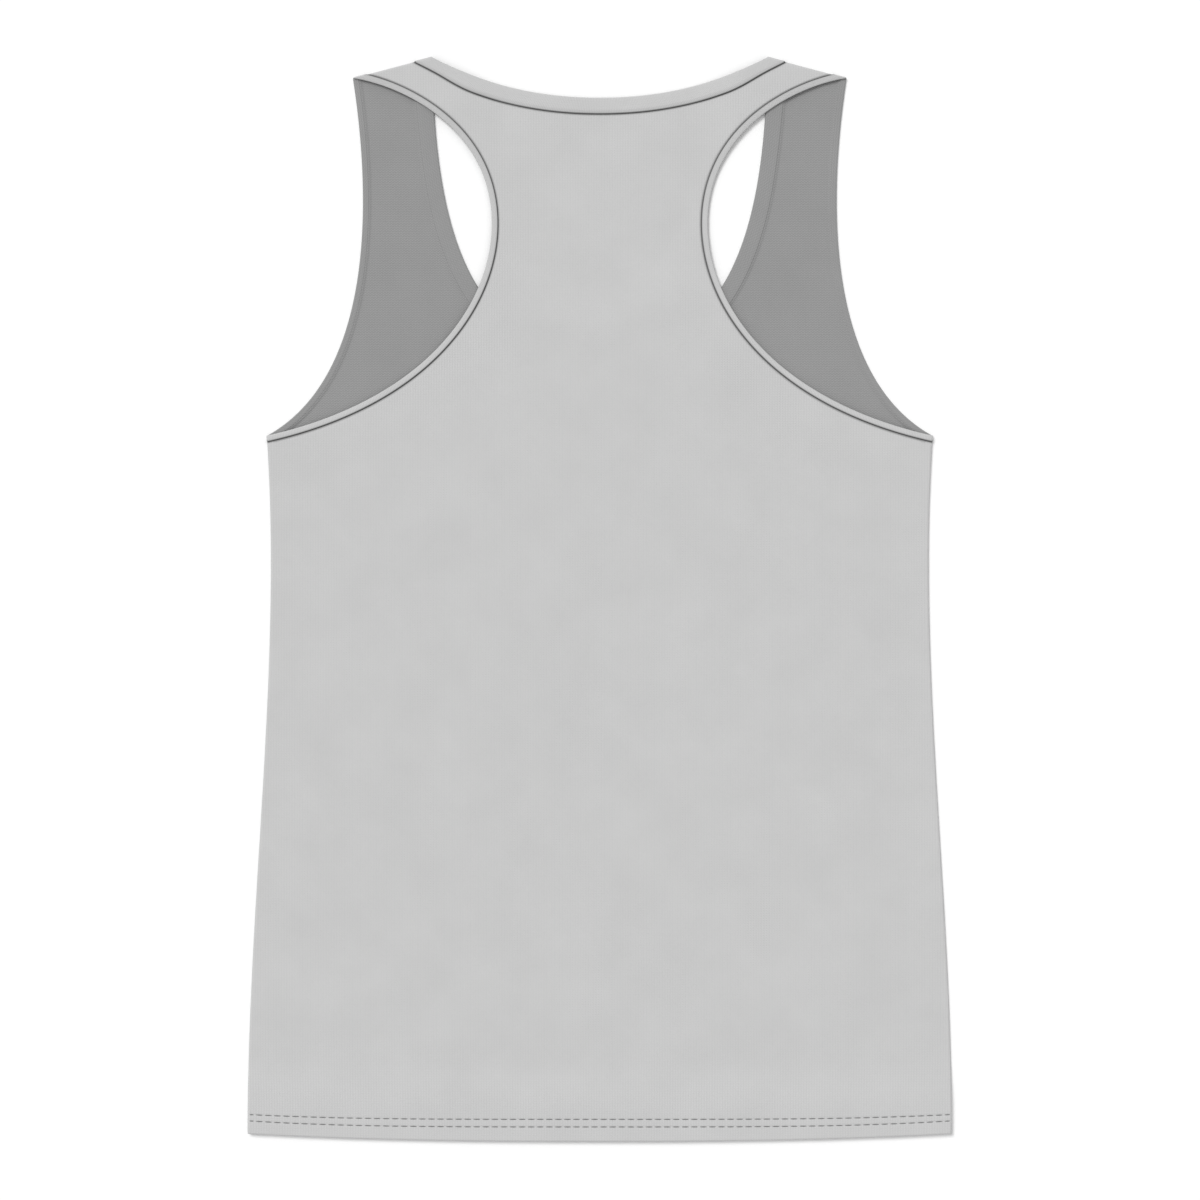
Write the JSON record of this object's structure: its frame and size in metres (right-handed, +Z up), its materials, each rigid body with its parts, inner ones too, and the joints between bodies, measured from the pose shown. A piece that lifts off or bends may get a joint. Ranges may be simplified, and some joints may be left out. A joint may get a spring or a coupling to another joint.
{
  "type": "tank top",
  "caption": "Racerback tank top in plain grey jersey, laid flat with its back up: two panels, a neckband and two armhole bindings.",
  "frame": {"origin": "on the table, under the middle of the garment as it lies on its front", "axes": "+Z up from the table, out of the garment's back; +Y from the hem to the shoulders; +X to the wearer's right"},
  "size_m": [0.4578, 0.7054, 0.0049],
  "materials": {
    "jersey": "matt knitted jersey",
    "band_jersey": "matt knitted jersey, folded double"
  },
  "bodies": {
    "root": {"front_panel": "jersey", "back_panel": "jersey", "neckband": "band_jersey", "armhole_binding_right": "band_jersey", "armhole_binding_left": "band_jersey"}
  },
  "joints": []
}
